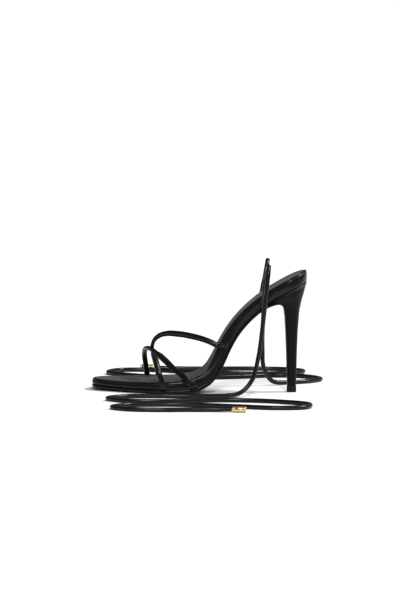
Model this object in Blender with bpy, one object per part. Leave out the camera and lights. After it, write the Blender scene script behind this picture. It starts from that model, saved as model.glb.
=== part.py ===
"""A high heeled sandal for the left foot, with three rouleau straps and two long ankle ties.

The toe points along -Y, the outer side of the foot is +X, and the floor is z = 0.
The sole pieces are flat patterns, bent lengthways onto one line in the middle of the shoe.
"""

import math

import bmesh
import bpy
import numpy as np
from mathutils import Matrix, Vector

MM = 0.001
GAP = 0.35  # between two pieces that touch on the real shoe, in mm as all sizes below

# The last: the rim of the footbed from toe to heel, and the pieces below it at each section.
LAST_COLUMNS = ("along", "up", "footbed", "sole", "lateral", "medial")
LAST_SECTIONS = (
    (-106.4, 11.4, 5.6, 2.8, 20.2, 28.8),
    (-95.6, 10.9, 5.6, 2.8, 20.9, 29.2),
    (-83.0, 10.5, 5.7, 3.0, 24.4, 31.2),
    (-70.6, 10.3, 5.8, 3.2, 30.4, 34.8),
    (-51.6, 10.5, 6.2, 3.5, 36.8, 38.3),
    (-34.0, 11.1, 7.1, 4.1, 38.9, 37.6),
    (-17.0, 12.8, 8.4, 4.4, 38.2, 33.8),
    (-6.1, 15.2, 9.0, 4.0, 36.6, 30.4),
    (2.2, 19.4, 9.1, 3.6, 34.0, 27.2),
    (8.1, 25.4, 9.0, 3.2, 31.4, 24.8),
    (13.4, 34.6, 8.9, 2.9, 28.4, 22.2),
    (20.5, 49.8, 8.9, 2.7, 24.8, 19.2),
    (30.0, 66.2, 8.9, 2.7, 22.4, 18.0),
    (41.8, 80.6, 9.0, 2.7, 22.0, 19.4),
    (55.6, 93.2, 9.1, 2.8, 23.2, 22.0),
    (71.4, 104.4, 9.4, 2.8, 24.8, 24.6),
    (88.2, 114.3, 9.9, 2.8, 26.2, 26.2),
    (106.1, 123.7, 10.5, 2.8, 26.6, 26.6),
)
TOE_ROUND, TOE_POWER = 34.0, 2.6  # a soft square toe
HEEL_ROUND, HEEL_POWER = 27.0, 2.0
BACK_SLANT, BACK_REACH = 0.46, 40.0  # keeps the back of the heel seat upright on its slope
RIM_LIP = 3.4  # from the edge of the footbed to the edge of the sock
SOCK_BED = 0.9  # how deep the sock lies below the rim
SOCK_RISE = 0.7  # how far its padding stands above the rim
SOLE_INSET = 0.9  # the outsole is this much smaller than the footbed all round

# The outsole leaves the footbed here, turns under the heel seat and runs down the breast.
SOLE_LEAVES = 203.0
BREAST_COLUMNS = ("along", "up", "sole", "lateral", "medial")
BREAST_SECTIONS = (
    (65.6, 88.0, 2.8, 22.6, 22.0),
    (70.8, 90.2, 2.7, 22.4, 22.2),
    (75.2, 91.2, 2.6, 20.8, 20.8),
    (79.0, 91.2, 2.5, 18.0, 18.0),
    (82.9, 89.1, 2.2, 15.0, 15.0),
    (84.9, 85.4, 1.9, 12.4, 12.4),
    (85.8, 79.6, 1.7, 10.4, 10.4),
    (86.9, 66.0, 1.5, 8.0, 8.0),
    (88.0, 46.7, 1.4, 6.2, 6.2),
    (89.0, 24.0, 1.3, 5.2, 5.2),
    (89.9, 6.6, 1.3, 4.8, 4.8),
)

# The heel below its seat: how far up the breast from the sole's end, the back line, half the width.
HEEL_COLUMNS = ("breast", "back_along", "back_up", "half_width", "power")
HEEL_SECTIONS = (
    (98.3, 105.8, 108.3, 25.0, 2.1),
    (94.5, 104.8, 104.5, 23.8, 2.2),
    (91.3, 103.6, 99.5, 21.6, 2.3),
    (87.0, 102.1, 94.0, 18.4, 2.4),
    (82.8, 100.8, 88.4, 15.4, 2.5),
    (78.0, 99.7, 82.0, 12.8, 2.6),
    (72.0, 99.2, 75.4, 10.8, 2.6),
    (57.5, 98.5, 63.8, 8.6, 2.6),
    (38.5, 98.0, 44.8, 6.7, 2.6),
    (17.6, 97.8, 24.0, 5.5, 2.6),
    (0.0, 97.6, 6.6, 5.1, 2.6),
)
HEEL_STEPS = (0.0, 0.1, 0.25, 0.42, 0.58, 0.72, 0.83, 0.92, 0.975)
SEAT_FRONT = 206.0  # where the heel seat starts, along the footbed
TIP_HIGH = 6.2
TIP_FRONT, TIP_BACK, TIP_HALF_WIDTH = 88.5, 97.9, 5.4

# The straps: round rouleau, pressed flat where they are lasted under the footbed.
FLAT_WIDE, FLAT_THICK = 6.9, 1.5
TUCK_DEEP = 6.5  # how far an end reaches in under the footbed
POCKET_HIGH, POCKET_SIDE = 2.2, 0.8
SECTION_SIDES = 12
FOOT_MIDDLE_UP = 16.0  # height of the line that the straps bow out from, over the forefoot

# Each strap's free stretch between its two ends, in across, along, up, wide and thick.
FRONT_STRAP = {
    "name": "front",
    "first": ("medial", 57.6, 1.6),
    "last": ("lateral", 99.8, 6.5),
    "free": (
        (-38.9, -51.7, 18.5, 5.4, 4.2),
        (-36.4, -53.1, 26.0, 5.3, 4.5),
        (-31.0, -53.9, 33.4, 5.3, 4.5),
        (-23.0, -53.5, 38.4, 5.3, 4.5),
        (-13.0, -50.7, 40.8, 5.3, 4.5),
        (-3.0, -46.4, 39.6, 5.3, 4.5),
        (6.0, -41.2, 36.0, 5.3, 4.5),
        (14.5, -35.0, 31.2, 5.3, 4.5),
        (22.5, -28.2, 25.8, 5.3, 4.5),
        (30.0, -21.0, 20.4, 5.2, 3.8),
        (36.0, -15.7, 16.6, 5.8, 3.0),
    ),
}
CROSS_STRAP = {
    "name": "cross",
    "first": ("lateral", 70.8, 2.0),
    "last": ("medial", 88.4, 1.0),
    "free": (
        (39.2, -39.7, 18.0, 5.4, 4.2),
        (34.8, -42.9, 26.6, 5.3, 4.5),
        (28.2, -44.6, 32.2, 5.3, 4.5),
        (19.0, -45.7, 35.6, 5.3, 4.2),
        (9.0, -46.1, 36.9, 5.3, 4.0),
        (-2.0, -45.1, 37.0, 5.3, 4.0),
        (-13.0, -42.1, 35.6, 5.3, 4.2),
        (-23.0, -37.4, 31.8, 5.3, 4.5),
        (-30.6, -31.7, 26.2, 5.3, 4.5),
        (-34.8, -26.2, 20.2, 5.4, 4.2),
    ),
}
INSTEP_STRAP = {
    "name": "instep",
    "first": ("lateral", 147.5, 2.7),
    "last": ("medial", 68.6, 1.4),
    "free": (
        (27.4, 16.0, 49.2, 6.2, 4.2),
        (26.0, 9.3, 52.0, 5.9, 5.7),
        (22.0, -0.2, 54.8, 5.9, 6.2),
        (16.0, -10.2, 56.6, 5.9, 6.3),
        (7.0, -22.8, 57.5, 5.8, 6.2),
        (-1.0, -32.8, 56.8, 5.6, 5.7),
        (-6.6, -40.2, 54.0, 5.2, 5.0),
        (-8.8, -44.9, 49.4, 4.4, 3.8),
        (-8.8, -46.9, 43.6, 3.8, 3.4),
        (-12.0, -46.6, 38.8, 4.0, 3.6),
        (-20.0, -44.9, 35.4, 5.0, 4.2),
        (-27.5, -42.8, 31.0, 5.2, 4.5),
        (-33.6, -41.7, 25.4, 5.2, 4.5),
        (-37.0, -40.1, 18.6, 5.4, 4.2),
    ),
}

# The ankle ties: where their flat ends are lasted in, and the free cord of each.
TIE_ROUND = 4.5
TAB_STATION, TAB_LEAN = 203.6, -8.4
ARCH_LONG, ARCH_STEP, CORD_STEP = 60.0, 7.5, 12.4  # points on the tube's line, closer where it arches
AGLET_LONG, AGLET_WIDE = 13.5, 6.0
FLOOR_CORD = TIE_ROUND / 2 + 0.05

# The line of each tie in across, along and up, from its tab to its aglet.
LATERAL_TIE = (
    (27.6, 63.3, 111.0),
    (28.4, 64.4, 118.5),
    (31.6, 65.6, 125.4),
    (38.0, 66.4, 129.0),
    (44.4, 66.0, 125.0),
    (47.8, 64.8, 114.0),
    (49.4, 63.0, 94.0),
    (50.2, 60.5, 67.0),
    (50.8, 57.0, 39.0),
    (52.6, 51.0, 16.5),
    (57.6, 40.0, 4.8),
    (65.0, 24.0, FLOOR_CORD),
    (73.0, -6.0, FLOOR_CORD),
    (76.0, -44.0, FLOOR_CORD),
    (84.0, -78.0, FLOOR_CORD),
    (103.0, -93.0, FLOOR_CORD),
    (121.0, -78.0, FLOOR_CORD),
    (124.0, -44.0, FLOOR_CORD),
    (112.0, -8.0, FLOOR_CORD),
    (104.0, 34.0, FLOOR_CORD),
    (112.0, 76.0, FLOOR_CORD),
    (132.0, 104.0, FLOOR_CORD),
    (158.0, 100.0, FLOOR_CORD),
    (168.0, 70.0, FLOOR_CORD),
    (160.0, 34.0, FLOOR_CORD),
    (152.0, -4.0, FLOOR_CORD),
    (152.0, -44.0, FLOOR_CORD),
    (162.0, -78.0, FLOOR_CORD),
    (180.0, -90.0, FLOOR_CORD),
    (196.0, -76.0, FLOOR_CORD),
    (199.0, -46.0, FLOOR_CORD),
    (194.0, -12.0, FLOOR_CORD),
    (192.0, 12.0, FLOOR_CORD + 0.2),
    (192.4, 26.0, AGLET_WIDE / 2),
)
MEDIAL_TIE = (
    (-27.2, 65.3, 111.0),
    (-28.0, 66.4, 118.5),
    (-31.2, 67.8, 125.4),
    (-37.6, 68.6, 129.0),
    (-44.0, 68.4, 125.0),
    (-47.4, 67.6, 114.0),
    (-48.8, 66.6, 94.0),
    (-49.6, 65.6, 67.0),
    (-50.4, 65.6, 39.0),
    (-52.4, 68.0, 16.5),
    (-58.0, 76.0, 4.8),
    (-67.0, 90.0, FLOOR_CORD),
    (-82.0, 114.0, FLOOR_CORD),
    (-106.0, 128.0, FLOOR_CORD),
    (-130.0, 112.0, FLOOR_CORD),
    (-134.0, 80.0, FLOOR_CORD),
    (-118.0, 48.0, FLOOR_CORD),
    (-104.0, 12.0, FLOOR_CORD),
    (-104.0, -28.0, FLOOR_CORD),
    (-118.0, -66.0, FLOOR_CORD),
    (-142.0, -88.0, FLOOR_CORD),
    (-166.0, -76.0, FLOOR_CORD),
    (-172.0, -46.0, FLOOR_CORD),
    (-160.0, -12.0, FLOOR_CORD),
    (-150.0, 28.0, FLOOR_CORD),
    (-150.0, 70.0, FLOOR_CORD),
    (-162.0, 104.0, FLOOR_CORD),
    (-181.0, 114.0, FLOOR_CORD),
    (-196.0, 98.0, FLOOR_CORD),
    (-199.0, 66.0, FLOOR_CORD),
    (-194.0, 30.0, FLOOR_CORD),
    (-190.0, -4.0, FLOOR_CORD),
    (-188.6, -26.0, FLOOR_CORD + 0.2),
    (-188.8, -40.0, AGLET_WIDE / 2),
)


def smooth_values(knots, rows, places):
    """Values at each place on a smooth curve through the rows, which stand at the knots."""
    slopes = np.gradient(rows, knots, axis=0)
    span = np.clip(np.searchsorted(knots, places, side="right") - 1, 0, len(knots) - 2)
    width = (knots[span + 1] - knots[span])[:, None]
    t = ((places - knots[span])[:, None]) / width
    start = rows[span] * (2 * t**3 - 3 * t**2 + 1) + slopes[span] * width * (t**3 - 2 * t**2 + t)
    end = rows[span + 1] * (3 * t**2 - 2 * t**3) + slopes[span + 1] * width * (t**3 - t**2)
    return start + end


def distances(points):
    """How far along the line each point lies."""
    steps = np.linalg.norm(np.diff(points, axis=0), axis=1)
    return np.concatenate([[0.0], np.cumsum(steps)])


class BendLine:
    """A smooth line in the middle of the shoe that a flat pattern is bent onto."""

    FINE = 900

    def __init__(self, columns, rows):
        rows = np.array(rows, float)
        knots = distances(rows[:, :2])
        values = smooth_values(knots, rows, np.linspace(0.0, knots[-1], self.FINE))
        self.s = distances(values[:, :2])
        self.length = self.s[-1]
        self.values = dict(zip(columns, values.T))
        tangent = np.gradient(values[:, :2], self.s, axis=0)
        tangent /= np.linalg.norm(tangent, axis=1)[:, None]
        self.tangent_y, self.tangent_z = tangent.T

    def value(self, name, s):
        return float(np.interp(s, self.s, self.values[name]))

    def tangent(self, s):
        along = np.interp(s, self.s, self.tangent_y)
        up = np.interp(s, self.s, self.tangent_z)
        return Vector((0.0, along, up)).normalized()

    def normal(self, s):
        tangent = self.tangent(s)
        return Vector((0.0, -tangent.z, tangent.y))

    def place(self, s, across, height):
        """A point at s on the line, so far across the shoe and so high above the line."""
        inside = min(max(s, 0.0), self.length)
        foot = Vector((across, self.value("along", inside), self.value("up", inside)))
        return foot + self.normal(inside) * height + self.tangent(inside) * (s - inside)


LAST = BendLine(LAST_COLUMNS, LAST_SECTIONS)


def on_last(s, across, height):
    """A point above or below the rim of the footbed, whose back end stands upright."""
    near_back = min(max((s - (LAST.length - BACK_REACH)) / BACK_REACH, 0.0), 1.0)
    return LAST.place(s + height * BACK_SLANT * near_back, across, height)


def sole_line():
    """The upper face of the outsole: under the footbed, then down the breast of the heel."""
    rows = []
    for s in np.arange(0.0, SOLE_LEAVES, 7.0):
        top = LAST.place(s, 0.0, -LAST.value("footbed", s) - GAP)
        sides = [LAST.value(side, s) - SOLE_INSET for side in ("lateral", "medial")]
        rows.append((top.y, top.z, LAST.value("sole", s), *sides))
    return BendLine(BREAST_COLUMNS, rows + list(BREAST_SECTIONS))


SOLE = sole_line()


def end_round(s, start, reach, power):
    """The share of the full width that is left at s, where a round end starts at start."""
    inward = min(max(1.0 - (s - start) / reach, 0.0), 1.0)
    return (1.0 - inward**power) ** (1.0 / power)


def toe_stations(count=9):
    turns = [math.radians(90.0 * i / count) for i in range(count)]
    return [TOE_ROUND * (1.0 - math.cos(a) ** (2.0 / TOE_POWER)) for a in turns]


def pattern(line, stations, heel_round):
    """The flat outline as (s, across) pairs: the lateral side to the end, then back on the medial."""
    sides = {"lateral": [], "medial": []}
    for s in stations:
        share = end_round(s, 0.0, TOE_ROUND, TOE_POWER)
        if heel_round:
            share *= end_round(line.length - s, 0.0, HEEL_ROUND, HEEL_POWER)
        sides["lateral"].append((s, line.value("lateral", s) * share))
        sides["medial"].append((s, -line.value("medial", s) * share))
    back = sides["medial"][::-1]
    if heel_round:
        back = back[1:]
    return np.array(sides["lateral"] + back[:-1])


def inset(outline, amount):
    """The outline moved inwards by an amount, square to its own edge."""
    before, after = np.roll(outline, 1, axis=0), np.roll(outline, -1, axis=0)
    first, second = outline - before, after - outline
    first /= np.linalg.norm(first, axis=1)[:, None]
    second /= np.linalg.norm(second, axis=1)[:, None]
    edge = first + second
    edge /= np.linalg.norm(edge, axis=1)[:, None]
    return outline + amount * np.column_stack([edge[:, 1], -edge[:, 0]])


def strip_cap(mesh, ring, outwards, from_point=True):
    """Close a ring whose two sides run level, in strips across from its point or its front edge."""
    count = len(ring)
    low, high = 0, count if from_point else count - 1
    while high - low > 1:
        corners = [ring[low], ring[low + 1], ring[high - 1], ring[high % count]]
        unique = list(dict.fromkeys(corners))
        mesh.faces.new(unique if outwards else unique[::-1])
        low += 1
        high -= 1


def front_edge_cap(mesh, ring, outwards):
    strip_cap(mesh, ring, outwards, from_point=False)


def loft(name, rings, cap_first, cap_last):
    """A closed body through rings of points, each closed by its own cap function."""
    mesh = bmesh.new()
    made = [[mesh.verts.new(point * MM) for point in ring] for ring in rings]
    for lower, upper in zip(made, made[1:]):
        for i in range(len(lower)):
            j = (i + 1) % len(lower)
            mesh.faces.new((lower[i], lower[j], upper[j], upper[i]))
    cap_first(mesh, made[0], False)
    cap_last(mesh, made[-1], True)
    bmesh.ops.recalc_face_normals(mesh, faces=mesh.faces)
    return add_object(name, mesh)


def flat_cap(mesh, ring, outwards):
    mesh.faces.new(ring if outwards else ring[::-1])


def add_object(name, mesh):
    data = bpy.data.meshes.new(name)
    mesh.to_mesh(data)
    mesh.free()
    made = bpy.data.objects.new(name, data)
    PARTS.objects.link(made)
    return made


def finish(made, material, sharp=35.0):
    made.data.materials.clear()
    made.data.materials.append(material)
    made.data.shade_smooth()
    made.data.set_sharp_from_angle(angle=math.radians(sharp))
    return made


def make_material(name, color, roughness, metallic=0.0):
    material = bpy.data.materials.new(name)
    material.use_nodes = True
    shader = material.node_tree.nodes["Principled BSDF"]
    shader.inputs["Base Color"].default_value = (*color, 1.0)
    shader.inputs["Roughness"].default_value = roughness
    shader.inputs["Metallic"].default_value = metallic
    return material


def even_stations(start, end, step):
    count = max(1, round((end - start) / step))
    return [start + (end - start) * i / count for i in range(count + 1)]


def heel_end_stations(length, count=6):
    turns = [math.radians(90.0 * i / count) for i in range(1, count + 1)]
    return [length - HEEL_ROUND * (1.0 - math.sin(a)) for a in turns]


def plate(name, outline, levels):
    """A bent plate: each level gives how far in from the edge it is and a height at each s."""
    rings = []
    for amount, height in levels:
        ring = inset(outline, amount)
        rings.append([on_last(s, x, height(s)) for s, x in ring])
    return loft(name, rings, strip_cap, strip_cap)


def footbed_outline():
    middle = even_stations(TOE_ROUND, LAST.length - HEEL_ROUND, 8.5)
    return pattern(LAST, toe_stations() + middle + heel_end_stations(LAST.length), True)


def build_footbed():
    """The leather covered board: a round edge below, a rolled rim, and the bed for the sock."""
    def below(share, drop=0.0):
        return lambda s: -LAST.value("footbed", s) * share - drop

    levels = (
        (1.5, below(1.0)),
        (0.45, below(1.0, -0.7)),
        (0.0, below(0.62)),
        (0.0, below(0.3)),
        (0.5, below(0.0, 0.75)),
        (1.7, below(0.0)),
        (RIM_LIP - 0.5, below(0.0, 0.15)),
        (RIM_LIP - 0.2, below(0.0, SOCK_BED)),
    )
    return plate("footbed", footbed_outline(), levels)


def build_sock():
    """The padded lining that fills the rim, a little higher in its middle."""
    levels = (
        (RIM_LIP + 0.5, lambda s: GAP - SOCK_BED),
        (RIM_LIP + 0.1, lambda s: 0.0),
        (RIM_LIP + 0.9, lambda s: SOCK_RISE * 0.7),
        (RIM_LIP + 3.0, lambda s: SOCK_RISE),
    )
    return plate("sock", footbed_outline(), levels)


def build_outsole():
    """One thin sole from the toe to the foot of the heel, flat where it treads the floor."""
    breast = SOLE.length - 112.0
    stations = toe_stations() + even_stations(TOE_ROUND, breast, 9.0)
    stations += even_stations(breast, SOLE.length - 66.0, 3.3)[1:]
    stations += even_stations(SOLE.length - 66.0, SOLE.length, 13.0)[1:]
    outline = pattern(SOLE, stations, False)

    def under(share, rise=0.0):
        return lambda s: -SOLE.value("sole", min(s, SOLE.length)) * share + rise

    rings = []
    for amount, height in ((0.7, under(1.0)), (0.1, under(1.0, 0.6)), (0.0, under(0.0, -0.5)), (0.5, under(0.0))):
        moved = inset(outline, amount)
        moved[:, 0] = np.minimum(moved[:, 0], SOLE.length)
        ring = [SOLE.place(s, x, height(s)) for s, x in moved]
        rings.append([Vector((p.x, p.y, max(p.z, 0.0))) for p in ring])
    return loft("outsole", rings, strip_cap, strip_cap)


def heel_ring(front, back, half_width, power):
    """A D shaped section in a plane across the shoe, from its flat front to its round back."""
    sides = []
    for step in HEEL_STEPS:
        across = half_width * (1.0 - step**power) ** (1.0 / power)
        sides.append((across, front.lerp(back, step)))
    ring = [Vector((x, p.y, p.z)) for x, p in sides] + [Vector((0.0, back.y, back.z))]
    return ring + [Vector((-x, p.y, p.z)) for x, p in sides[::-1]]


def seat_ring():
    """The top of the heel, which takes the curve of the footbed above it."""
    end = LAST.length - 0.8
    outline = {"lateral": [], "medial": []}
    for step in HEEL_STEPS:
        s = SEAT_FRONT + (end - SEAT_FRONT) * step
        share = end_round(LAST.length - s, 0.0, HEEL_ROUND, HEEL_POWER)
        for side, sign in (("lateral", 1.0), ("medial", -1.0)):
            across = sign * (LAST.value(side, s) * share - 0.8)
            height = -LAST.value("footbed", s) - GAP
            outline[side].append(on_last(s, across, height))
    back = on_last(end, 0.0, -LAST.value("footbed", end) - GAP)
    return outline["lateral"] + [back] + outline["medial"][::-1]


def build_heel():
    rings = [seat_ring()]
    for row in HEEL_SECTIONS:
        section = dict(zip(HEEL_COLUMNS, row))
        front = SOLE.place(SOLE.length - section["breast"], 0.0, GAP)
        back = Vector((0.0, section["back_along"], section["back_up"]))
        rings.append(heel_ring(front, back, section["half_width"], section["power"]))
    return loft("heel", rings[::-1], flat_cap, front_edge_cap)


def build_heel_tip():
    """The top piece: a small block of hard rubber with eased edges."""
    rings = []
    for up, ease in ((0.0, 0.5), (0.6, 0.0), (TIP_HIGH - 0.3, 0.0), (TIP_HIGH, 0.25)):
        front = Vector((0.0, TIP_FRONT + ease, up))
        back = Vector((0.0, TIP_BACK - ease, up))
        rings.append(heel_ring(front, back, TIP_HALF_WIDTH - ease, 2.6))
    return loft("heel_tip", rings, flat_cap, flat_cap)


def edge_at(side, s):
    """The footbed's edge on one side, as a signed distance across the shoe."""
    return LAST.value(side, s) * (1.0 if side == "lateral" else -1.0)


def tuck(side, station, lean):
    """The lasted end of a strap, from under the footbed, round its edge and up to the rim."""
    sign = 1.0 if side == "lateral" else -1.0
    thick = LAST.value("footbed", station)
    out = Vector((sign, 0.0, 0.0))
    down = -LAST.normal(station)
    middle = GAP + FLAT_THICK / 2
    wall = middle + 0.05
    rows = (
        (-TUCK_DEEP, middle, 0.0, down, FLAT_WIDE, FLAT_THICK),
        (-3.4, middle, 0.0, down, FLAT_WIDE, FLAT_THICK),
        (-0.5, middle, 0.0, (down * 3 + out).normalized(), FLAT_WIDE, FLAT_THICK),
        (wall * 0.72, middle + 0.45, 0.02, (down + out).normalized(), FLAT_WIDE, FLAT_THICK),
        (wall + 0.1, middle + 1.9, 0.15, out, FLAT_WIDE - 0.2, FLAT_THICK + 0.2),
        (wall + 0.3, thick * 0.62, 0.55, out, FLAT_WIDE - 0.6, FLAT_THICK + 0.6),
        (wall + 0.6, thick - 0.2, 1.0, out, FLAT_WIDE - 1.0, FLAT_THICK + 1.2),
    )
    route = []
    for beyond, above, moved, outwards, wide, flat in rows:
        s = station - lean * moved
        edge = edge_at(side, s)
        point = LAST.place(s, edge + sign * beyond, above - thick)
        route.append((point, outwards, wide, flat))
    return route


def free_route(rows):
    """The stretch of a strap that bows over the foot."""
    route = []
    for across, along, up, wide, thick in rows:
        point = Vector((across, along, up))
        outwards = Vector((across, 0.0, max(up - FOOT_MIDDLE_UP, 0.0) + 1.0)).normalized()
        route.append((point, outwards, wide, thick))
    return route


def rouleau(name, route, step=3.4):
    """A tube through a route, with an oval section that turns its flat side outwards."""
    rows = np.array([[*point, *outwards, wide, thick] for point, outwards, wide, thick in route])
    knots = distances(rows[:, :3])
    places = [0.0]
    for start, end in zip(knots, knots[1:]):
        places += even_stations(start, end, step)[1:]
    values = smooth_values(knots, rows, np.array(places))
    tangents = np.gradient(values[:, :3], places, axis=0)
    rings = []
    for value, tangent in zip(values, tangents):
        centre, outwards = Vector(value[:3]), Vector(value[3:6])
        direction = Vector(tangent).normalized()
        sideways = direction.cross(outwards).normalized()
        facing = sideways.cross(direction).normalized()
        ring = []
        for i in range(SECTION_SIDES):
            turn = 2.0 * math.pi * (i + 0.5) / SECTION_SIDES
            offset = sideways * (math.cos(turn) * value[6] / 2) + facing * (math.sin(turn) * value[7] / 2)
            ring.append(centre + offset)
        rings.append(ring)
    return loft(name, rings, flat_cap, flat_cap)


def join(base, other):
    """Make two solids one."""
    union = base.modifiers.new("join", "BOOLEAN")
    union.operation = "UNION"
    union.solver = "EXACT"
    union.object = other
    other.hide_render = True
    other.display_type = "WIRE"
    PARTS.objects.unlink(other)
    GUIDES.objects.link(other)


def build_straps():
    """The upper: three straps in one, joined where they meet over the toes."""
    made = []
    for strap in (FRONT_STRAP, CROSS_STRAP, INSTEP_STRAP):
        route = tuck(*strap["first"]) + free_route(strap["free"]) + tuck(*strap["last"])[::-1]
        made.append(rouleau("straps" if not made else f"{strap['name']}_strap", route))
    for other in made[1:]:
        join(made[0], other)
    return made[0]


def cut_pocket(footbed, side, station):
    """Pare the underside of the footbed where the end of a strap is lasted in."""
    mesh = bmesh.new()
    bmesh.ops.create_cube(mesh, size=1.0)
    sign = 1.0 if side == "lateral" else -1.0
    size = (TUCK_DEEP + 4.0, FLAT_WIDE + 2 * POCKET_SIDE, POCKET_HIGH + 2.0)
    middle = edge_at(side, station) - sign * (TUCK_DEEP - 2.6) / 2
    height = POCKET_HIGH - LAST.value("footbed", station) - size[2] / 2
    tangent, normal = LAST.tangent(station), LAST.normal(station)
    turn = Matrix((Vector((1.0, 0.0, 0.0)), tangent, normal)).transposed().to_4x4()
    place = Matrix.Translation(LAST.place(station, middle, height)) @ turn @ Matrix.Diagonal((*size, 1.0))
    bmesh.ops.transform(mesh, matrix=Matrix.Scale(MM, 4) @ place, verts=mesh.verts)
    cutter = add_object(f"pocket_{side}_{round(station)}", mesh)
    cut = footbed.modifiers.new(cutter.name, "BOOLEAN")
    cut.operation = "DIFFERENCE"
    cut.solver = "EXACT"
    cut.object = cutter
    cutter.hide_render = True
    cutter.display_type = "WIRE"
    PARTS.objects.unlink(cutter)
    GUIDES.objects.link(cutter)


def build_tab(side, first_point):
    """The flat end of a tie, which becomes round where the free cord starts."""
    route = tuck(side, TAB_STATION, TAB_LEAN)
    out = Vector((1.0 if side == "lateral" else -1.0, 0.0, 0.0))
    rim, cord = route[-1][0], Vector(first_point)
    end = cord - (cord - rim).normalized() * GAP
    route.append((rim.lerp(end, 0.5), out, (FLAT_WIDE + TIE_ROUND) / 2, 3.2))
    route.append((end, out, TIE_ROUND, TIE_ROUND))
    return rouleau(f"tie_tab_{side}", route, 2.6)


def build_tie(side, rows):
    """The free cord: a tube on a line read from a smooth curve through the route's points."""
    points = np.array(rows, float)
    knots = distances(points)
    places = even_stations(0.0, ARCH_LONG, ARCH_STEP) + even_stations(ARCH_LONG, knots[-1], CORD_STEP)[1:]
    line = smooth_values(knots, points, np.array(places))
    line[:, 2] = np.maximum(line[:, 2], FLOOR_CORD)
    curve = bpy.data.curves.new(f"tie_{side}", "CURVE")
    curve.dimensions = "3D"
    curve.bevel_depth = TIE_ROUND / 2 * MM
    curve.bevel_resolution = 2
    curve.use_fill_caps = True
    spline = curve.splines.new("POLY")
    spline.points.add(len(line) - 1)
    for target, point in zip(spline.points, line):
        target.co = (*(point * MM), 1.0)
    made = bpy.data.objects.new(f"tie_{side}", curve)
    PARTS.objects.link(made)
    return made


def build_aglet(side, rows):
    """A gold tube on the tie's end, lying along the tie's last direction."""
    before, last = (Vector(row) for row in rows[-2:])
    direction = Vector((last.x - before.x, last.y - before.y, 0.0)).normalized()
    start = last + direction * GAP
    profile = ((0.0, 0.88), (0.06, 1.0), (0.9, 1.0), (1.0, 0.86))
    sideways = direction.cross(Vector((0.0, 0.0, 1.0)))
    rings = []
    for share, width in profile:
        centre = start + direction * (AGLET_LONG * share)
        ring = []
        for i in range(16):
            turn = 2.0 * math.pi * i / 16
            offset = sideways * math.cos(turn) + Vector((0.0, 0.0, math.sin(turn)))
            ring.append(centre + offset * (AGLET_WIDE / 2 * width))
        rings.append(ring)
    return loft(f"aglet_{side}", rings, flat_cap, flat_cap)


for old in list(bpy.data.objects):
    bpy.data.objects.remove(old)
PARTS = bpy.data.collections.new("lace_up_heeled_sandal")
GUIDES = bpy.data.collections.new("guides")
bpy.context.scene.collection.children.link(PARTS)
bpy.context.scene.collection.children.link(GUIDES)

BLACK_LEATHER = make_material("black_leather", (0.012, 0.011, 0.013), 0.42)
SOCK_LEATHER = make_material("sock_leather", (0.035, 0.034, 0.037), 0.5)
SOLE_RUBBER = make_material("sole_rubber", (0.016, 0.015, 0.016), 0.35)
GOLD = make_material("polished_gold", (0.83, 0.62, 0.33), 0.18, 1.0)

footbed_object = finish(build_footbed(), BLACK_LEATHER)
for strap in (FRONT_STRAP, CROSS_STRAP, INSTEP_STRAP):
    for end in ("first", "last"):
        cut_pocket(footbed_object, *strap[end][:2])
for shoe_side in ("lateral", "medial"):
    cut_pocket(footbed_object, shoe_side, TAB_STATION)
finish(build_sock(), SOCK_LEATHER)
finish(build_outsole(), SOLE_RUBBER)
finish(build_heel(), BLACK_LEATHER)
finish(build_heel_tip(), SOLE_RUBBER)
finish(build_straps(), BLACK_LEATHER)
for shoe_side, tie_rows in (("lateral", LATERAL_TIE), ("medial", MEDIAL_TIE)):
    finish(build_tab(shoe_side, tie_rows[0]), BLACK_LEATHER)
    build_tie(shoe_side, tie_rows).data.materials.append(BLACK_LEATHER)
    finish(build_aglet(shoe_side, tie_rows), GOLD)
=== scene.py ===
import math

import bmesh
import bpy
import numpy as np
from mathutils import Matrix, Vector, noise


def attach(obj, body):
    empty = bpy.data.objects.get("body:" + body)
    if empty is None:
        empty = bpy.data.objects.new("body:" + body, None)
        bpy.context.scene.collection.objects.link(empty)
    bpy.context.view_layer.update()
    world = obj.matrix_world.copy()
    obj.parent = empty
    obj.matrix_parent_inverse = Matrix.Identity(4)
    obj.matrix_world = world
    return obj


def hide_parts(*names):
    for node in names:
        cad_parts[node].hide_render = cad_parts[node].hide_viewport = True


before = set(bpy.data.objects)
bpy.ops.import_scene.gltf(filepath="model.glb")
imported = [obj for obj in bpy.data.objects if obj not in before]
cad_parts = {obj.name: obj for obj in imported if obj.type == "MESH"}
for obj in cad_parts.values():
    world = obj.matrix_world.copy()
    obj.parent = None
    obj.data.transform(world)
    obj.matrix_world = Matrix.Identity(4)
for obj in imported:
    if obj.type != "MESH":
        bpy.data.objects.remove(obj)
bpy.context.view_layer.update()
mm = 0.001  # shapes are in mm, the ties' routes in metres; the toe is -Y and the outer side +X
print("frame loaded:", len(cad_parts), "nodes")

def addObject(name, data):
    made = bpy.data.objects.new(name, data)
    bpy.context.scene.collection.objects.link(made)
    return made


photoView = {
    "azimuth": 88.0,
    "elevation": 5.3,
    "roll": 1.0,
    "distance": 6.0,
    "pictureHeight": 0.6,
    "aim": (0.0, -0.0001, 0.0911),
    "sensor": 36.0,
    "farthest": 60.0,
}


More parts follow.
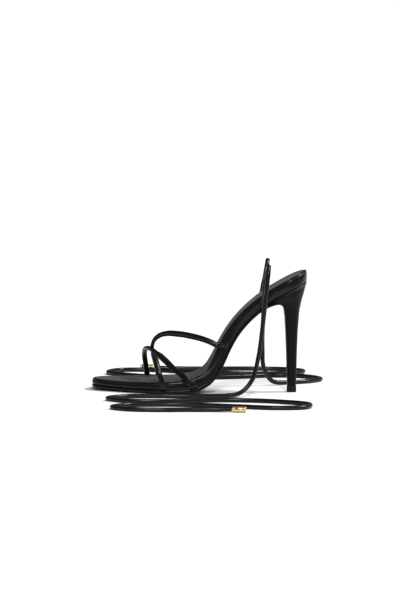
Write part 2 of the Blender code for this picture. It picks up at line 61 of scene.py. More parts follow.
def makeCamera():
    turn, rise = math.radians(photoView["azimuth"]), math.radians(photoView["elevation"])
    away = Vector((math.sin(turn) * math.cos(rise), -math.cos(turn) * math.cos(rise), math.sin(rise)))
    camera = addObject("photoCamera", bpy.data.cameras.new("photoCamera"))
    camera.data.sensor_width = photoView["sensor"]
    camera.data.lens = photoView["sensor"] * photoView["distance"] / photoView["pictureHeight"]
    camera.data.clip_end = photoView["farthest"]
    look = (-away).to_track_quat("-Z", "Y").to_matrix().to_4x4()
    roll = Matrix.Rotation(math.radians(photoView["roll"]), 4, "Z")
    place = Matrix.Translation(Vector(photoView["aim"]) + away * photoView["distance"])
    camera.matrix_world = place @ look @ roll
    bpy.context.scene.camera = camera


makeCamera()
print("camera set")


# Curves and bends that every piece uses.
def smoothRows(knots, rows, places):  # a smooth curve through table rows that stand at the knots
    slopes = np.gradient(rows, knots, axis=0)
    span = np.clip(np.searchsorted(knots, places, side="right") - 1, 0, len(knots) - 2)
    width = (knots[span + 1] - knots[span])[:, None]
    t = (places - knots[span])[:, None] / width
    start = rows[span] * (2 * t**3 - 3 * t**2 + 1) + slopes[span] * width * (t**3 - 2 * t**2 + t)
    end = rows[span + 1] * (3 * t**2 - 2 * t**3) + slopes[span + 1] * width * (t**3 - t**2)
    return start + end


def runLengths(points):  # how far along its line each point lies
    steps = np.linalg.norm(np.diff(points, axis=0), axis=1)
    return np.concatenate([[0.0], np.cumsum(steps)])


def unit(vectors):
    return vectors / np.linalg.norm(vectors, axis=-1)[..., None]


def softRise(value, start, end):  # 0 before start, 1 after end
    t = np.clip((value - start) / (end - start), 0.0, 1.0)
    return t * t * (3.0 - 2.0 * t)


def bump(value, middle, reach):  # 1 in the middle, and next to nothing at twice the reach
    return np.exp(-(((value - middle) / reach) ** 2))


def roughness3d(points, size, seed):  # an even, smooth unevenness from -1 to 1 over the shape
    shift = Vector((seed, seed * 2.0, seed * 3.0))
    flat = points.reshape(-1, 3)
    return np.array([noise.noise(Vector(p) / size + shift) for p in flat]).reshape(points.shape[:-1])


def bendLine(columns, rows, fineRows=900):  # the line down the shoe that a flat pattern is bent onto
    rows = np.array(rows, float)
    knots = runLengths(rows[:, :2])
    fine = smoothRows(knots, rows, np.linspace(0.0, knots[-1], fineRows))
    run = runLengths(fine[:, :2])
    line = dict(zip(columns, fine.T))
    line["run"], line["length"] = run, run[-1]
    line["tangent"] = unit(np.gradient(fine[:, :2], run, axis=0))
    return line


def valueAt(line, column, s):
    return np.interp(s, line["run"], line[column])


def tangentAt(line, s):
    return unit(np.stack([np.interp(s, line["run"], part) for part in line["tangent"].T], axis=-1))


def placeOn(line, s, across, height):  # s along the line, so far across the shoe, so high above it
    s, across, height = np.broadcast_arrays(np.asarray(s, float), across, height)
    inside = np.clip(s, 0.0, line["length"])
    tangent = tangentAt(line, inside)
    along = valueAt(line, "along", inside) - tangent[..., 1] * height + tangent[..., 0] * (s - inside)
    up = valueAt(line, "up", inside) + tangent[..., 0] * height + tangent[..., 1] * (s - inside)
    return np.stack([across, along, up], axis=-1)


# The last, as in the part: the rim of the footbed and the thickness of what lies below it.
last = {
    "columns": ("along", "up", "footbed", "sole", "lateral", "medial"),
    "sections": (
        (-106.4, 11.4, 5.6, 2.8, 20.2, 28.8),
        (-95.6, 10.9, 5.6, 2.8, 20.9, 29.2),
        (-83.0, 10.5, 5.7, 3.0, 24.4, 31.2),
        (-70.6, 10.3, 5.8, 3.2, 30.4, 34.8),
        (-51.6, 10.5, 6.2, 3.5, 36.8, 38.3),
        (-34.0, 11.1, 7.1, 4.1, 38.9, 37.6),
        (-17.0, 12.8, 8.4, 4.4, 38.2, 33.8),
        (-6.1, 15.2, 9.0, 4.0, 36.6, 30.4),
        (2.2, 19.4, 9.1, 3.6, 34.0, 27.2),
        (8.1, 25.4, 9.0, 3.2, 31.4, 24.8),
        (13.4, 34.6, 8.9, 2.9, 28.4, 22.2),
        (20.5, 49.8, 8.9, 2.7, 24.8, 19.2),
        (30.0, 66.2, 8.9, 2.7, 22.4, 18.0),
        (41.8, 80.6, 9.0, 2.7, 22.0, 19.4),
        (55.6, 93.2, 9.1, 2.8, 23.2, 22.0),
        (71.4, 104.4, 9.4, 2.8, 24.8, 24.6),
        (88.2, 114.3, 9.9, 2.8, 26.2, 26.2),
        (106.1, 123.7, 10.5, 2.8, 26.6, 26.6),
    ),
    "roundStep": 3.0,  # degrees between the points of its round ends
    "toeRound": 34.0,
    "toePower": 2.6,
    "heelRound": 27.0,
    "heelPower": 2.0,
    "backSlant": 0.46,  # keeps the back of the heel seat upright
    "backReach": 40.0,
    "glueGap": 0.35,
    "touching": 0.03,  # what is left of that gap where leather lies on leather
}
lastLine = bendLine(last["columns"], last["sections"])


def onLast(flat):  # bends flat points (s, across, height) onto the last
    s, across, height = flat[..., 0], flat[..., 1], flat[..., 2]
    nearBack = np.clip((s - lastLine["length"] + last["backReach"]) / last["backReach"], 0.0, 1.0)
    return placeOn(lastLine, s + height * last["backSlant"] * nearBack, across, height)


def endRound(distance, reach, power):
    inward = np.clip(1.0 - distance / reach, 0.0, 1.0)
    return (1.0 - inward**power) ** (1.0 / power)


def stationsAlong(line, step, heelRound):
    turn = last["roundStep"]
    turns = np.radians(np.arange(0.0, 90.0, turn))
    toe = last["toeRound"] * (1.0 - np.cos(turns) ** (2.0 / last["toePower"]))
    end = line["length"] - (last["heelRound"] if heelRound else 0.0)
    middle = np.linspace(last["toeRound"], end, round((end - last["toeRound"]) / step) + 1)
    if not heelRound:
        return np.concatenate([toe, middle])
    turns = np.radians(np.arange(turn, 90.0 + turn / 2.0, turn))
    heel = line["length"] - last["heelRound"] * (1.0 - np.sin(turns))
    return np.concatenate([toe, middle, heel])


def outlineOf(line, step, heelRound):  # (s, across): up the outer side to the heel and back down the inner
    s = stationsAlong(line, step, heelRound)
    share = endRound(s, last["toeRound"], last["toePower"])
    if heelRound:
        share = share * endRound(line["length"] - s, last["heelRound"], last["heelPower"])
    outer = np.column_stack([s, valueAt(line, "lateral", s) * share])
    inner = np.column_stack([s, -valueAt(line, "medial", s) * share])[::-1]
    if heelRound:
        inner = inner[1:]
    return np.concatenate([outer, inner[:-1]])


def insetOf(outline, amount):
    before, after = np.roll(outline, 1, axis=0), np.roll(outline, -1, axis=0)
    edge = unit(unit(outline - before) + unit(after - outline))
    return outline + np.asarray(amount)[..., None] * np.column_stack([edge[:, 1], -edge[:, 0]])


def acrossRows(ring, cells, lift=None):  # fills a flat ring from side to side with rows of points
    count = len(ring)
    pairs = np.arange(0, count // 2 + 1)
    outer, inner = ring[pairs], ring[(-pairs) % count]
    t = np.linspace(0.0, 1.0, cells + 1)[None, :, None]
    rows = outer[:, None] * (1.0 - t) + inner[:, None] * t
    if lift:
        rows[..., 2] += lift(rows[..., 0], t[..., 0])
    return rows


def gridFaces(rows, columns, offset, closed=False):
    faces = []
    for i in range(rows - 1):
        for j in range(columns if closed else columns - 1):
            k = (j + 1) % columns
            faces.append([offset + i * columns + j, offset + i * columns + k,
                          offset + (i + 1) * columns + k, offset + (i + 1) * columns + j])
    return faces


meshLook = {"merge": 0.004, "collapse": 0.001, "sharp": 50.0, "strapSharp": 60.0}  # mm and degrees


# a grid is a pair: points[rows, columns, 3] in mm, and whether its rows close
def makeMesh(name, grids, sharp=meshLook["sharp"]):
    points, faces, offset = [], [], 0
    for grid, closed in grids:
        faces += gridFaces(grid.shape[0], grid.shape[1], offset, closed)
        points.append(grid.reshape(-1, 3))
        offset += grid.shape[0] * grid.shape[1]
    data = bpy.data.meshes.new(name)
    data.from_pydata((np.concatenate(points) * mm).tolist(), [], faces)
    shape = bmesh.new()
    shape.from_mesh(data)
    bmesh.ops.remove_doubles(shape, verts=shape.verts, dist=meshLook["merge"] * mm)
    bmesh.ops.dissolve_degenerate(shape, edges=shape.edges, dist=meshLook["collapse"] * mm)
    bmesh.ops.recalc_face_normals(shape, faces=shape.faces)
    shape.to_mesh(data)
    shape.free()
    data.shade_smooth()
    data.set_sharp_from_angle(angle=math.radians(sharp))
    return addObject(name, data)


def finishPiece(piece, materials, slot, *nodes):
    piece.data.materials.clear()
    for material in materials:
        piece.data.materials.append(material)
    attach(piece, "root")
    if nodes:
        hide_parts(*nodes)
    return piece


# Shader groups: what more than one finish uses.
def newGroup(name, kind, inputs, outputs):
    tree = bpy.data.node_groups.new(name, kind)
    for label, socketKind, value in inputs:
        socket = tree.interface.new_socket(label, in_out="INPUT", socket_type=socketKind)
        if value is not None:
            socket.default_value = value
    for label, socketKind in outputs:
        tree.interface.new_socket(label, in_out="OUTPUT", socket_type=socketKind)
    return tree, tree.nodes.new("NodeGroupInput"), tree.nodes.new("NodeGroupOutput")


def newMaterial(name):
    material = bpy.data.materials.new(name)
    material.use_nodes = True
    return material, material.node_tree, material.node_tree.nodes["Principled BSDF"]


def feed(tree, node, **inputs):  # inputs go by name, or by place as _0, _1 and so on
    for label, value in inputs.items():
        byPlace = label[0] == "_"
        socket = node.inputs[int(label[1:]) if byPlace else label.replace("_", " ")]
        if isinstance(value, bpy.types.NodeSocket):
            tree.links.new(value, socket)
        else:
            socket.default_value = value
    return node


def addNode(tree, kind, settings=None, **inputs):
    node = tree.nodes.new(kind)
    for key, value in (settings or {}).items():
        setattr(node, key, value)
    return feed(tree, node, **inputs)


def mathNode(tree, operation, *values):
    byPlace = {f"_{i}": value for i, value in enumerate(values)}
    return addNode(tree, "ShaderNodeMath", {"operation": operation}, **byPlace).outputs[0]


def noiseAt(tree, spot, scale, detail, **more):
    return addNode(tree, "ShaderNodeTexNoise", Vector=spot, Scale=scale, Detail=detail, **more).outputs["Fac"]


def mapRange(tree, value, fromLow, fromHigh, toLow, toHigh):
    return addNode(tree, "ShaderNodeMapRange", {"interpolation_type": "SMOOTHSTEP"}, _0=value,
                   _1=fromLow, _2=fromHigh, _3=toLow, _4=toHigh).outputs[0]


def mixColor(tree, share, first, second, blend="MIX"):
    return addNode(tree, "ShaderNodeMix", {"data_type": "RGBA", "blend_type": blend},
                   _0=share, _6=first, _7=second).outputs[2]


grainLook = {
    "swayScale": 420.0,
    "sway": (0.0006, 0.0006, 0.0006),
    "fineScale": 5200.0,
    "fineShare": 0.35,
    "hideScale": 70.0,
    "hideRange": (0.3, 0.7),  # from the dull to the lively spots of a hide
    "hideShare": 0.6,  # how much those spots count in how smooth the leather is
    "lighter": (1.5, 1.5, 1.55, 1.0),
    "lighterShare": 0.35,
}


def makeGrainGroup():
    tree, given, result = newGroup("leatherGrain", "ShaderNodeTree", (
        ("Cells per Metre", "NodeSocketFloat", 1500.0),
        ("Furrow", "NodeSocketFloat", 0.25),
        ("Face Color", "NodeSocketColor", (0.01, 0.01, 0.01, 1.0)),
        ("Furrow Color", "NodeSocketColor", (0.004, 0.004, 0.004, 1.0)),
        ("Smooth", "NodeSocketFloat", 0.35),
        ("Rough", "NodeSocketFloat", 0.5),
    ), (("Color", "NodeSocketColor"), ("Roughness", "NodeSocketFloat"), ("Height", "NodeSocketFloat")))
    spot = addNode(tree, "ShaderNodeTexCoord").outputs["Object"]
    sway = addNode(tree, "ShaderNodeTexNoise", Vector=spot, Scale=grainLook["swayScale"], Detail=2.0)
    offset = addNode(tree, "ShaderNodeVectorMath", {"operation": "MULTIPLY_ADD"}, _0=sway.outputs["Color"],
                     _1=grainLook["sway"], _2=spot).outputs[0]
    cells = addNode(tree, "ShaderNodeTexVoronoi", {"feature": "DISTANCE_TO_EDGE"}, Vector=offset,
                    Scale=given.outputs["Cells per Metre"]).outputs["Distance"]
    furrow = mapRange(tree, cells, 0.0, given.outputs["Furrow"], 0.0, 1.0)
    fine = noiseAt(tree, spot, grainLook["fineScale"], 3.0)
    height = mathNode(tree, "MULTIPLY_ADD", fine, grainLook["fineShare"], furrow)
    hide = noiseAt(tree, spot, grainLook["hideScale"], 4.0)
    tone = mapRange(tree, hide, *grainLook["hideRange"], 0.0, 1.0)
    color = mixColor(tree, furrow, given.outputs["Furrow Color"], given.outputs["Face Color"])
    lighter = mixColor(tree, grainLook["lighterShare"], color, grainLook["lighter"], "MULTIPLY")
    color = mixColor(tree, tone, color, lighter)
    share = grainLook["hideShare"]
    patches = mathNode(tree, "MULTIPLY_ADD", hide, share, mathNode(tree, "MULTIPLY", fine, 1.0 - share))
    rough = mapRange(tree, patches, *grainLook["hideRange"], given.outputs["Smooth"], given.outputs["Rough"])
    feed(tree, result, Color=color, Roughness=rough, Height=height)
    return tree


rubLook = {"scale": 130.0, "range": (0.52, 0.74), "duller": 0.25}


def makeRubGroup():
    tree, given, result = newGroup("lightRub", "ShaderNodeTree", (
        ("Color", "NodeSocketColor", (0.01, 0.01, 0.01, 1.0)),
        ("Rub Color", "NodeSocketColor", (0.05, 0.05, 0.05, 1.0)),
        ("Roughness", "NodeSocketFloat", 0.4),
        ("Amount", "NodeSocketFloat", 0.3),
    ), (("Color", "NodeSocketColor"), ("Roughness", "NodeSocketFloat")))
    spot = addNode(tree, "ShaderNodeTexCoord").outputs["Object"]
    patches = noiseAt(tree, spot, rubLook["scale"], 8.0, Roughness=0.7)
    rubbed = mapRange(tree, patches, *rubLook["range"], 0.0, 1.0)
    mask = mathNode(tree, "MULTIPLY", rubbed, given.outputs["Amount"])
    color = mixColor(tree, mask, given.outputs["Color"], given.outputs["Rub Color"])
    rough = mathNode(tree, "MULTIPLY_ADD", mask, rubLook["duller"], given.outputs["Roughness"])
    feed(tree, result, Color=color, Roughness=rough)
    return tree


grainGroup = makeGrainGroup()
rubGroup = makeRubGroup()
print("shader groups made")

finishes = {
    "blackLeather": {
        "face": (0.0034, 0.0032, 0.0044, 1.0), "furrow": (0.0022, 0.0021, 0.0029, 1.0),
        "cells": 2100.0, "furrowWidth": 0.2, "smooth": 0.30, "rough": 0.43, "rub": 0.15,
        "rubColor": (0.010, 0.010, 0.011, 1.0), "depth": 0.00003, "strength": 0.3,
        "specular": 0.12, "coat": 0.34, "coatRoughness": 0.19, "sheen": 0.0,
    },
    "heelLeather": {
        "face": (0.0030, 0.0027, 0.0038, 1.0), "furrow": (0.0020, 0.0018, 0.0025, 1.0),
        "cells": 2100.0, "furrowWidth": 0.2, "smooth": 0.36, "rough": 0.50, "rub": 0.2,
        "rubColor": (0.009, 0.008, 0.009, 1.0), "depth": 0.00003, "strength": 0.3,
        "specular": 0.09, "coat": 0.05, "coatRoughness": 0.28, "sheen": 0.0,
    },
    "sockLeather": {
        "face": (0.078, 0.077, 0.088, 1.0), "furrow": (0.034, 0.034, 0.039, 1.0),
        "cells": 1500.0, "furrowWidth": 0.28, "smooth": 0.52, "rough": 0.68, "rub": 0.3,
        "rubColor": (0.090, 0.089, 0.097, 1.0), "depth": 0.00005, "strength": 0.5,
        "specular": 0.32, "coat": 0.0, "coatRoughness": 0.3, "sheen": 0.05,
    },
    "soleEdge": {
        "face": (0.0044, 0.0043, 0.0052, 1.0), "furrow": (0.0036, 0.0035, 0.0042, 1.0),
        "cells": 900.0, "furrowWidth": 0.1, "smooth": 0.2, "rough": 0.32, "rub": 0.15,
        "rubColor": (0.014, 0.014, 0.014, 1.0), "depth": 0.00001, "strength": 0.2,
        "specular": 0.14, "coat": 0.14, "coatRoughness": 0.22, "sheen": 0.0,
    },
    "treadRubber": {
        "face": (0.0090, 0.0088, 0.0088, 1.0), "furrow": (0.0050, 0.0050, 0.0050, 1.0),
        "cells": 1100.0, "furrowWidth": 0.35, "smooth": 0.5, "rough": 0.7, "rub": 0.5,
        "rubColor": (0.030, 0.029, 0.028, 1.0), "depth": 0.00008, "strength": 0.5,
        "specular": 0.16, "coat": 0.0, "coatRoughness": 0.3, "sheen": 0.0,
    },
}


def makeFinish(name):
    look = finishes[name]
    material, tree, shader = newMaterial(name)
    grain = addNode(tree, "ShaderNodeGroup", {"node_tree": grainGroup}, Cells_per_Metre=look["cells"],
                    Furrow=look["furrowWidth"], Face_Color=look["face"], Furrow_Color=look["furrow"],
                    Smooth=look["smooth"], Rough=look["rough"])
    rub = addNode(tree, "ShaderNodeGroup", {"node_tree": rubGroup}, Color=grain.outputs["Color"],
                  Rub_Color=look["rubColor"], Roughness=grain.outputs["Roughness"], Amount=look["rub"])
    relief = addNode(tree, "ShaderNodeBump", Strength=look["strength"], Distance=look["depth"],
                     Height=grain.outputs["Height"])
    feed(tree, shader, Base_Color=rub.outputs["Color"], Roughness=rub.outputs["Roughness"],
         Normal=relief.outputs["Normal"], Specular_IOR_Level=look["specular"],
         Coat_Weight=look["coat"], Coat_Roughness=look["coatRoughness"], Sheen_Weight=look["sheen"])
    return material


goldLook = {
    "color": (0.87, 0.62, 0.30, 1.0),
    "shade": (0.70, 0.46, 0.19, 1.0),
    "smooth": 0.13,
    "rough": 0.3,
    "brush": (900.0, 60.0, 900.0),  # how finely it is brushed in each direction
    "brushScale": 4.0,
    "brushDepth": 0.00001,
    "brushStrength": 0.15,
    "hazeScale": 300.0,
    "wornRange": (0.35, 0.65),
    "shadeRange": (0.35, 0.7),
}


def makeGold():
    material, tree, shader = newMaterial("polishedGold")
    spot = addNode(tree, "ShaderNodeTexCoord").outputs["Object"]
    stretched = addNode(tree, "ShaderNodeMapping", Vector=spot, Scale=goldLook["brush"]).outputs[0]
    brushed = noiseAt(tree, stretched, goldLook["brushScale"], 5.0)
    hazy = noiseAt(tree, spot, goldLook["hazeScale"], 4.0)
    worn = mathNode(tree, "MULTIPLY_ADD", brushed, 0.5, mathNode(tree, "MULTIPLY", hazy, 0.5))
    rough = mapRange(tree, worn, *goldLook["wornRange"], goldLook["smooth"], goldLook["rough"])
    shaded = mapRange(tree, hazy, *goldLook["shadeRange"], 0.0, 1.0)
    color = mixColor(tree, shaded, goldLook["color"], goldLook["shade"])
    relief = addNode(tree, "ShaderNodeBump", Strength=goldLook["brushStrength"],
                     Distance=goldLook["brushDepth"], Height=brushed)
    feed(tree, shader, Base_Color=color, Roughness=rough, Normal=relief.outputs["Normal"], Metallic=1.0)
    return material


blackLeather = makeFinish("blackLeather")
heelLeather = makeFinish("heelLeather")
sockLeather = makeFinish("sockLeather")
soleEdge = makeFinish("soleEdge")
treadRubber = makeFinish("treadRubber")
polishedGold = makeGold()
print("finishes made")

seamPucker = 0.3  # how much of a turned seam's depth comes and goes with its puckers

# The ankle ties come first of the pieces: cords that lie uncoiled on the floor, routes in metres.
tieLook = {
    "width": 0.0045,
    "sides": 28,
    "step": 0.0011,
    "seamDepth": 0.00022,
    "seamShare": 0.055,
    "puckerPitch": 0.0027,
    "crease": 0.00016,
    "creaseSize": 130.0,
    "floorHeight": 0.0023,
    "pathStep": 3,
}
tieRoutes = {  # across, along and, where a tie isn't on the floor, up
    "lateral": (
        (0.0276, 0.0633, 0.111), (0.0284, 0.0644, 0.1185), (0.0316, 0.0656, 0.1254),
        (0.038, 0.0664, 0.129), (0.0444, 0.066, 0.125), (0.0478, 0.0648, 0.114),
        (0.0494, 0.063, 0.094), (0.0502, 0.0605, 0.067), (0.0508, 0.057, 0.039),
        (0.0526, 0.051, 0.0165), (0.0576, 0.04, 0.0048), (0.065, 0.024), (0.073, -0.006),
        (0.076, -0.044), (0.084, -0.078), (0.103, -0.093), (0.121, -0.078), (0.124, -0.044),
        (0.112, -0.008), (0.104, 0.034), (0.112, 0.076), (0.132, 0.104), (0.158, 0.1),
        (0.168, 0.07), (0.16, 0.034), (0.152, -0.004), (0.152, -0.044), (0.162, -0.078),
        (0.18, -0.09), (0.196, -0.076), (0.199, -0.046), (0.194, -0.012),
        (0.192, 0.012, 0.0025), (0.1924, 0.026, 0.003),
    ),
    "medial": (
        (-0.0272, 0.0653, 0.111), (-0.028, 0.0664, 0.1185), (-0.0312, 0.0678, 0.1254),
        (-0.0376, 0.0686, 0.129), (-0.044, 0.0684, 0.125), (-0.0474, 0.0676, 0.114),
        (-0.0488, 0.0666, 0.094), (-0.0496, 0.0656, 0.067), (-0.0504, 0.0656, 0.039),
        (-0.0524, 0.068, 0.0165), (-0.058, 0.076, 0.0048), (-0.067, 0.09), (-0.082, 0.114),
        (-0.106, 0.128), (-0.13, 0.112), (-0.134, 0.08), (-0.118, 0.048), (-0.104, 0.012),
        (-0.104, -0.028), (-0.118, -0.066), (-0.142, -0.088), (-0.166, -0.076), (-0.172, -0.046),
        (-0.16, -0.012), (-0.15, 0.028), (-0.15, 0.07), (-0.162, 0.104), (-0.181, 0.114),
        (-0.196, 0.098), (-0.199, 0.066), (-0.194, 0.03), (-0.19, -0.004),
        (-0.1886, -0.026, 0.0025), (-0.1888, -0.04, 0.003),
    ),
}


def makeSweepTree():
    tree, given, result = newGroup("rouleauSweep", "GeometryNodeTree", (
        ("Geometry", "NodeSocketGeometry", None),
        ("Width", "NodeSocketFloat", 0.0045),
        ("Sides", "NodeSocketInt", 24),
        ("Seam Depth", "NodeSocketFloat", 0.0002),
        ("Seam Share", "NodeSocketFloat", 0.05),
        ("Pucker Pitch", "NodeSocketFloat", 0.003),
        ("Crease", "NodeSocketFloat", 0.0001),
        ("Crease Scale", "NodeSocketFloat", 120.0),
        ("Material", "NodeSocketMaterial", None),
    ), (("Geometry", "NodeSocketGeometry"),))
    size = given.outputs
    lengthwise = addNode(tree, "GeometryNodeSplineParameter").outputs
    number = {"data_type": "FLOAT"}
    onPoints = {**number, "domain": "POINT"}
    line = addNode(tree, "GeometryNodeStoreNamedAttribute", onPoints, Geometry=size["Geometry"],
                   Name="along", Value=lengthwise["Length"]).outputs[0]
    circle = addNode(tree, "GeometryNodeCurvePrimitiveCircle", Resolution=size["Sides"],
                     Radius=mathNode(tree, "MULTIPLY", size["Width"], 0.5)).outputs["Curve"]
    profile = addNode(tree, "GeometryNodeStoreNamedAttribute", onPoints, Geometry=circle,
                      Name="around", Value=lengthwise["Factor"]).outputs[0]
    tube = addNode(tree, "GeometryNodeCurveToMesh", Curve=line, Profile_Curve=profile,
                   Fill_Caps=True).outputs[0]
    around = addNode(tree, "GeometryNodeInputNamedAttribute", number, Name="around").outputs[0]
    along = addNode(tree, "GeometryNodeInputNamedAttribute", number, Name="along").outputs[0]
    aside = mathNode(tree, "ABSOLUTE", mathNode(tree, "SUBTRACT", around, 0.5))
    seam = mapRange(tree, aside, 0.0, size["Seam Share"], 1.0, 0.0)
    puckers = mathNode(tree, "DIVIDE", along, size["Pucker Pitch"])
    wave = mathNode(tree, "SINE", mathNode(tree, "MULTIPLY", puckers, 2.0 * math.pi))
    pucker = mathNode(tree, "MULTIPLY_ADD", wave, seamPucker, 1.0 - seamPucker)
    seamDrop = mathNode(tree, "MULTIPLY", mathNode(tree, "MULTIPLY", seam, pucker), size["Seam Depth"])
    spot = addNode(tree, "GeometryNodeInputPosition").outputs[0]
    uneven = noiseAt(tree, spot, size["Crease Scale"], 2.0)
    swell = mathNode(tree, "MULTIPLY", mathNode(tree, "SUBTRACT", uneven, 0.5), size["Crease"])
    lift = mathNode(tree, "SUBTRACT", swell, seamDrop)
    normal = addNode(tree, "GeometryNodeInputNormal").outputs[0]
    offset = addNode(tree, "ShaderNodeVectorMath", {"operation": "SCALE"}, _0=normal, Scale=lift)
    moved = addNode(tree, "GeometryNodeSetPosition", Geometry=tube, Offset=offset.outputs[0]).outputs[0]
    smooth = addNode(tree, "GeometryNodeSetShadeSmooth", Geometry=moved).outputs[0]
    real = addNode(tree, "GeometryNodeRealizeInstances", Geometry=smooth).outputs[0]
    dressed = addNode(tree, "GeometryNodeSetMaterial", Geometry=real, Material=size["Material"]).outputs[0]
    feed(tree, result, Geometry=dressed)
    return tree


def socketName(tree, label):
    return next(i.identifier for i in tree.interface.items_tree if i.name == label and i.in_out == "INPUT")


def sweepTube(name, tree, points, values):  # a plain mesh tube along the points, made by the sweep tree
    curve = bpy.data.curves.new(f"{name}Line", "CURVE")
    curve.dimensions = "3D"
    spline = curve.splines.new("POLY")
    spline.points.add(len(points) - 1)
    for target, point in zip(spline.points, points):
        target.co = (*point, 1.0)
    carrier = addObject(f"{name}Line", curve)
    sweep = carrier.modifiers.new("sweep", "NODES")
    sweep.node_group = tree
    for label, value in values.items():
        sweep[socketName(tree, label)] = value
    shown = carrier.evaluated_get(bpy.context.evaluated_depsgraph_get())
    data = bpy.data.meshes.new_from_object(shown)
    carrier.modifiers.remove(sweep)
    bpy.data.objects.remove(carrier)
    return addObject(name, data)


def tieLine(route):  # the cord's centreline, close enough together to follow its bends
    points = np.array([(*point, tieLook["floorHeight"])[:3] for point in route])
    knots = runLengths(points)
    line = smoothRows(knots, points, np.linspace(0.0, knots[-1], round(knots[-1] / tieLook["step"])))
    line[:, 2] = np.maximum(line[:, 2], tieLook["floorHeight"])
    return line


sweepTree = makeSweepTree()
tiePieces = {}
for side, route in tieRoutes.items():
    line = tieLine(route)
    tie = sweepTube(f"tie_{side}_cord", sweepTree, line, {
        "Width": tieLook["width"], "Sides": tieLook["sides"], "Seam Depth": tieLook["seamDepth"],
        "Seam Share": tieLook["seamShare"], "Pucker Pitch": tieLook["puckerPitch"],
        "Crease": tieLook["crease"], "Crease Scale": tieLook["creaseSize"], "Material": blackLeather,
    })
    finishPiece(tie, [blackLeather], "black_leather", f"tie_{side}")
    tiePieces[side] = (tie, line)
    print(f"tie {side}: {runLengths(line)[-1]:.3f} m, {len(tie.data.polygons)} faces")

agletLook = {
    "length": 13.5,
    "radius": 3.0,
    "gap": 0.35,
    "aim": 12,  # how many points of the tie give its direction
    "sharp": 40.0,
    # how far along its length, and share of the radius: the closed foot, the barrel, the rolled open mouth
    "profile": (
        (1.0, 0.0), (1.0, 0.55), (1.0, 0.80), (0.996, 0.88), (0.985, 0.95), (0.965, 0.99), (0.94, 1.0),
        (0.90, 1.0), (0.885, 0.965), (0.865, 0.965), (0.85, 1.0), (0.5, 1.0), (0.17, 1.0), (0.155, 0.965),
        (0.135, 0.965), (0.12, 1.0), (0.06, 1.0), (0.03, 0.99), (0.01, 0.955), (0.0, 0.90), (0.004, 0.85),
        (0.02, 0.81), (0.05, 0.80), (0.2, 0.79), (0.2, 0.0),
    ),
    "sides": 56,
}


def makeAglet(side, line):
    direction = line[-1] - line[-agletLook["aim"]]
    direction = Vector((direction[0], direction[1], 0.0)).normalized()
    start = Vector(line[-1] / mm) + direction * agletLook["gap"]
    sideways = direction.cross(Vector((0.0, 0.0, 1.0)))
    rows = []
    for share, width in agletLook["profile"]:
        centre = start + direction * (agletLook["length"] * share)
        reach = agletLook["radius"] * width
        ring = []
        for i in range(agletLook["sides"]):
            turn = 2.0 * math.pi * i / agletLook["sides"]
            upwards = Vector((0.0, 0.0, math.sin(turn) * reach))
            ring.append(centre + sideways * (math.cos(turn) * reach) + upwards)
        rows.append(ring)
    aglet = makeMesh(f"aglet_{side}_tube", [(np.array(rows), True)], agletLook["sharp"])
    return finishPiece(aglet, [polishedGold], "polished_gold", f"aglet_{side}")


for side, (tie, line) in tiePieces.items():
    aglet = makeAglet(side, line)
print("ties and aglets made")

# The footbed: a leather wrapped board with a rolled rim, worked as rings from below to the sock's bed.
strapEnds = {  # side, station, lean, how hard the strap presses the rim
    "frontMedial": ("medial", 57.6, 1.6, 0.35),
    "frontLateral": ("lateral", 99.8, 6.5, 0.45),
    "crossLateral": ("lateral", 70.8, 2.0, 0.5),
    "crossMedial": ("medial", 88.4, 1.0, 0.35),
    "instepLateral": ("lateral", 147.5, 2.7, 0.45),
    "instepMedial": ("medial", 68.6, 1.4, 0.35),
    "tieLateral": ("lateral", 203.6, -8.4, 0.4),
    "tieMedial": ("medial", 203.6, -8.4, 0.4),
}
footbedLook = {
    "step": 1.7,
    # inset from the edge, share of the thickness below the rim, further drop below the rim
    "levels": (
        (3.0, 1.0, 0.0), (1.6, 1.0, 0.0), (1.0, 1.0, -0.10), (0.55, 1.0, -0.38), (0.22, 1.0, -0.80),
        (0.04, 1.0, -1.40), (-0.06, 0.76, 0.0), (-0.10, 0.62, 0.0), (-0.08, 0.50, 0.0), (0.0, 0.06, 2.40),
        (0.10, 0.0, 2.56), (0.36, 0.0, 2.46), (0.60, 0.0, 2.28), (0.56, 0.0, 2.10), (0.26, 0.0, 1.92),
        (0.10, 0.0, 1.66), (0.14, 0.0, 1.36), (0.28, 0.0, 1.00), (0.46, 0.0, 0.64), (0.70, 0.0, 0.36),
        (1.05, 0.0, 0.14), (1.50, 0.0, 0.02), (1.95, 0.0, 0.0), (2.40, 0.0, 0.08), (2.80, 0.0, 0.28),
        (3.06, 0.0, 0.56), (3.18, 0.0, 0.9),
    ),
    "rimReach": 4.2,
    "bulge": 0.16,
    "bulgeAway": 7.5,
    "bulgeReach": 2.6,
    "pressedTop": (-2.4, -0.6),  # the drops between which a strap's press reaches its full depth
    "pinch": 0.35,
    "slack": (16.0, 3.0, 0.09),  # size, seed and depth of the leather's unevenness over the board
}


def rimPress(s, across):  # how far the straps press the rim in at each point of a ring
    pressed = np.zeros(len(s))
    for side, station, lean, depth in strapEnds.values():
        sameSide = (across > 0.0) == (side == "lateral")
        dip = bump(s, station - lean, footbedLook["rimReach"])
        away, reach = footbedLook["bulgeAway"], footbedLook["bulgeReach"]
        ridge = bump(s, station - lean - away, reach) + bump(s, station - lean + away, reach)
        pressed += sameSide * (depth * dip - footbedLook["bulge"] * ridge)
    return pressed


